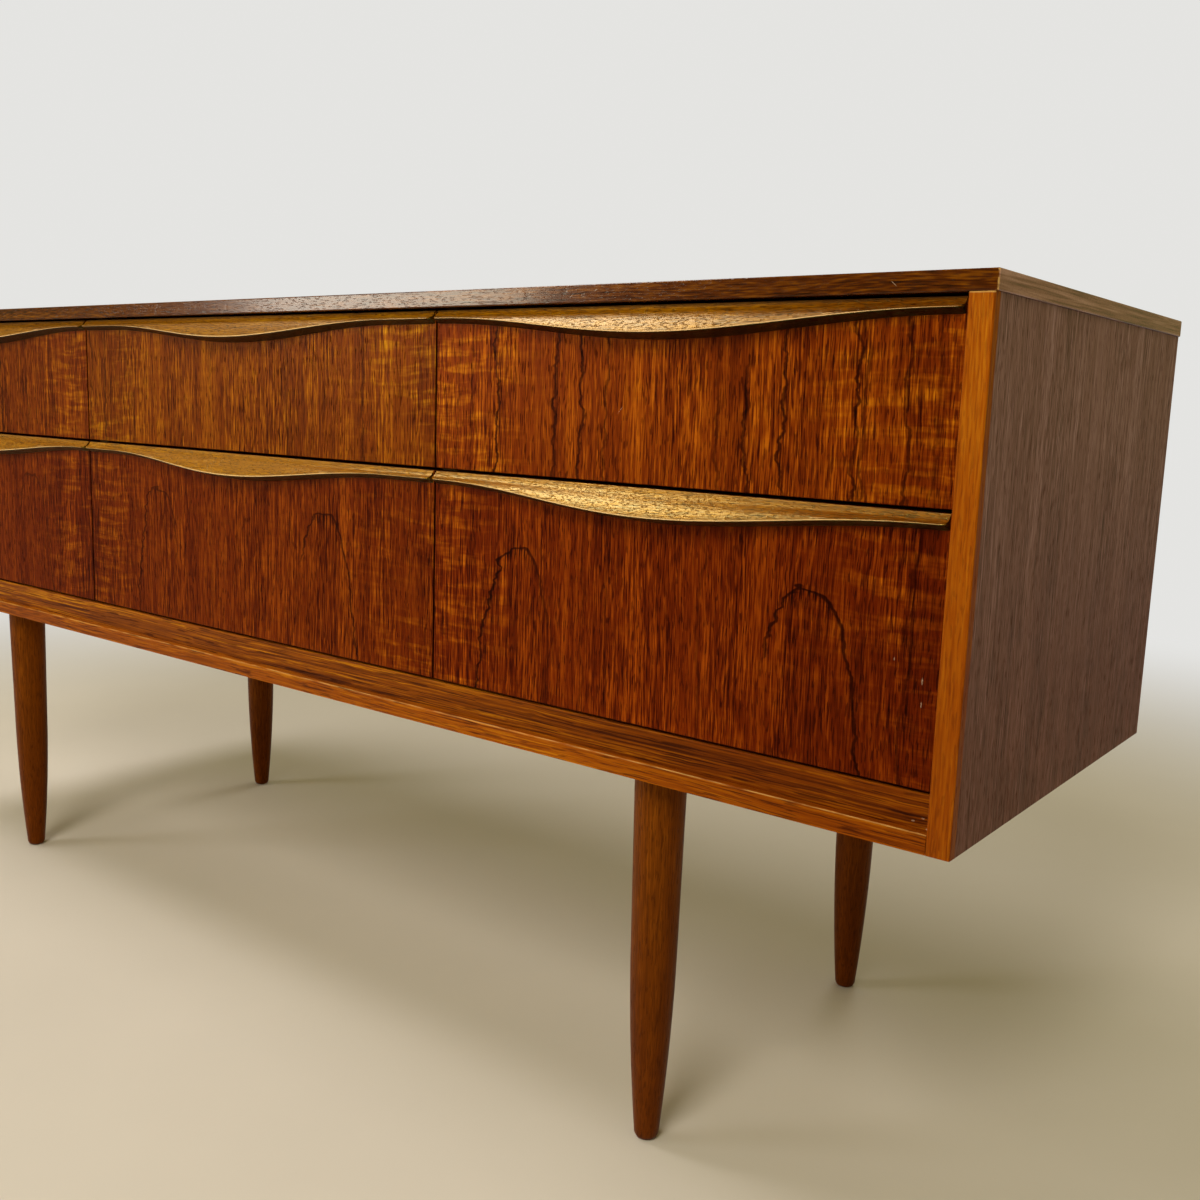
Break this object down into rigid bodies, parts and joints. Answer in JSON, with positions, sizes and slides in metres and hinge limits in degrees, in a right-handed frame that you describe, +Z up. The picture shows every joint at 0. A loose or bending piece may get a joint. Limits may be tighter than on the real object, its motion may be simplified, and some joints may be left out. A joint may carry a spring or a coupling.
{
  "type": "chest of drawers",
  "caption": "Long low teak chest of drawers with sculpted wave pull lips, a slim overhanging top and round tapered legs.",
  "frame": {"origin": "on the floor under the middle of the whole chest, pull lips included", "axes": "+X along the front to the right as seen from the front, +Y to the back, +Z up; the drawers open towards -Y"},
  "size_m": [1.447, 0.432, 0.659],
  "materials": {
    "case_veneer": "satin teak veneer, worn",
    "case_lipping": "satin solid teak",
    "rail_veneer": "satin dark teak",
    "front_veneer": "satin crown-cut teak veneer",
    "lip_wood": "satin solid teak",
    "leg_wood": "satin turned hardwood",
    "inner_board": "plain veneered board",
    "drawer_wood": "plain hardwood",
    "plywood": "plain plywood",
    "hardboard": "hardboard, smooth",
    "runner_wood": "waxed hardwood",
    "steel": "zinc plated"
  },
  "bodies": {
    "case": {"top_panel": "case_veneer", "side_panel_left": "case_veneer", "side_panel_right": "case_veneer", "side_lipping_left": "case_lipping", "side_lipping_right": "case_lipping", "bottom_panel": "inner_board", "bottom_lipping": "case_lipping", "bottom_rail": "rail_veneer", "divider_left": "inner_board", "divider_right": "inner_board", "back_panel": "hardboard", "back_panel_pins": "steel", "drawer_runners_upper": "runner_wood", "drawer_runners_lower": "runner_wood", "runner_screws": "steel", "leg_front_left": "leg_wood", "leg_front_right": "leg_wood", "leg_back_left": "leg_wood", "leg_back_right": "leg_wood", "leg_plates": "steel", "leg_plate_screws": "steel", "leg_studs": "steel"},
    "drawer_upper_left": {"front_upper_left": "front_veneer", "lip_upper_left": "lip_wood", "side_left_upper_left": "drawer_wood", "side_right_upper_left": "drawer_wood", "back_upper_left": "drawer_wood", "bottom_upper_left": "plywood"},
    "drawer_upper_middle": {"front_upper_middle": "front_veneer", "lip_upper_middle": "lip_wood", "side_left_upper_middle": "drawer_wood", "side_right_upper_middle": "drawer_wood", "back_upper_middle": "drawer_wood", "bottom_upper_middle": "plywood"},
    "drawer_upper_right": {"front_upper_right": "front_veneer", "lip_upper_right": "lip_wood", "side_left_upper_right": "drawer_wood", "side_right_upper_right": "drawer_wood", "back_upper_right": "drawer_wood", "bottom_upper_right": "plywood"},
    "drawer_lower_left": {"front_lower_left": "front_veneer", "lip_lower_left": "lip_wood", "side_left_lower_left": "drawer_wood", "side_right_lower_left": "drawer_wood", "back_lower_left": "drawer_wood", "bottom_lower_left": "plywood"},
    "drawer_lower_middle": {"front_lower_middle": "front_veneer", "lip_lower_middle": "lip_wood", "side_left_lower_middle": "drawer_wood", "side_right_lower_middle": "drawer_wood", "back_lower_middle": "drawer_wood", "bottom_lower_middle": "plywood"},
    "drawer_lower_right": {"front_lower_right": "front_veneer", "lip_lower_right": "lip_wood", "side_left_lower_right": "drawer_wood", "side_right_lower_right": "drawer_wood", "back_lower_right": "drawer_wood", "bottom_lower_right": "plywood"}
  },
  "joints": [
    {"name": "upper_left_slide", "type": "slide", "parent": "case", "child": "drawer_upper_left", "axis": [0, -1, 0], "range_m": [0, 0.3]},
    {"name": "upper_middle_slide", "type": "slide", "parent": "case", "child": "drawer_upper_middle", "axis": [0, -1, 0], "range_m": [0, 0.3]},
    {"name": "upper_right_slide", "type": "slide", "parent": "case", "child": "drawer_upper_right", "axis": [0, -1, 0], "range_m": [0, 0.3]},
    {"name": "lower_left_slide", "type": "slide", "parent": "case", "child": "drawer_lower_left", "axis": [0, -1, 0], "range_m": [0, 0.3]},
    {"name": "lower_middle_slide", "type": "slide", "parent": "case", "child": "drawer_lower_middle", "axis": [0, -1, 0], "range_m": [0, 0.3]},
    {"name": "lower_right_slide", "type": "slide", "parent": "case", "child": "drawer_lower_right", "axis": [0, -1, 0], "range_m": [0, 0.3]}
  ]
}
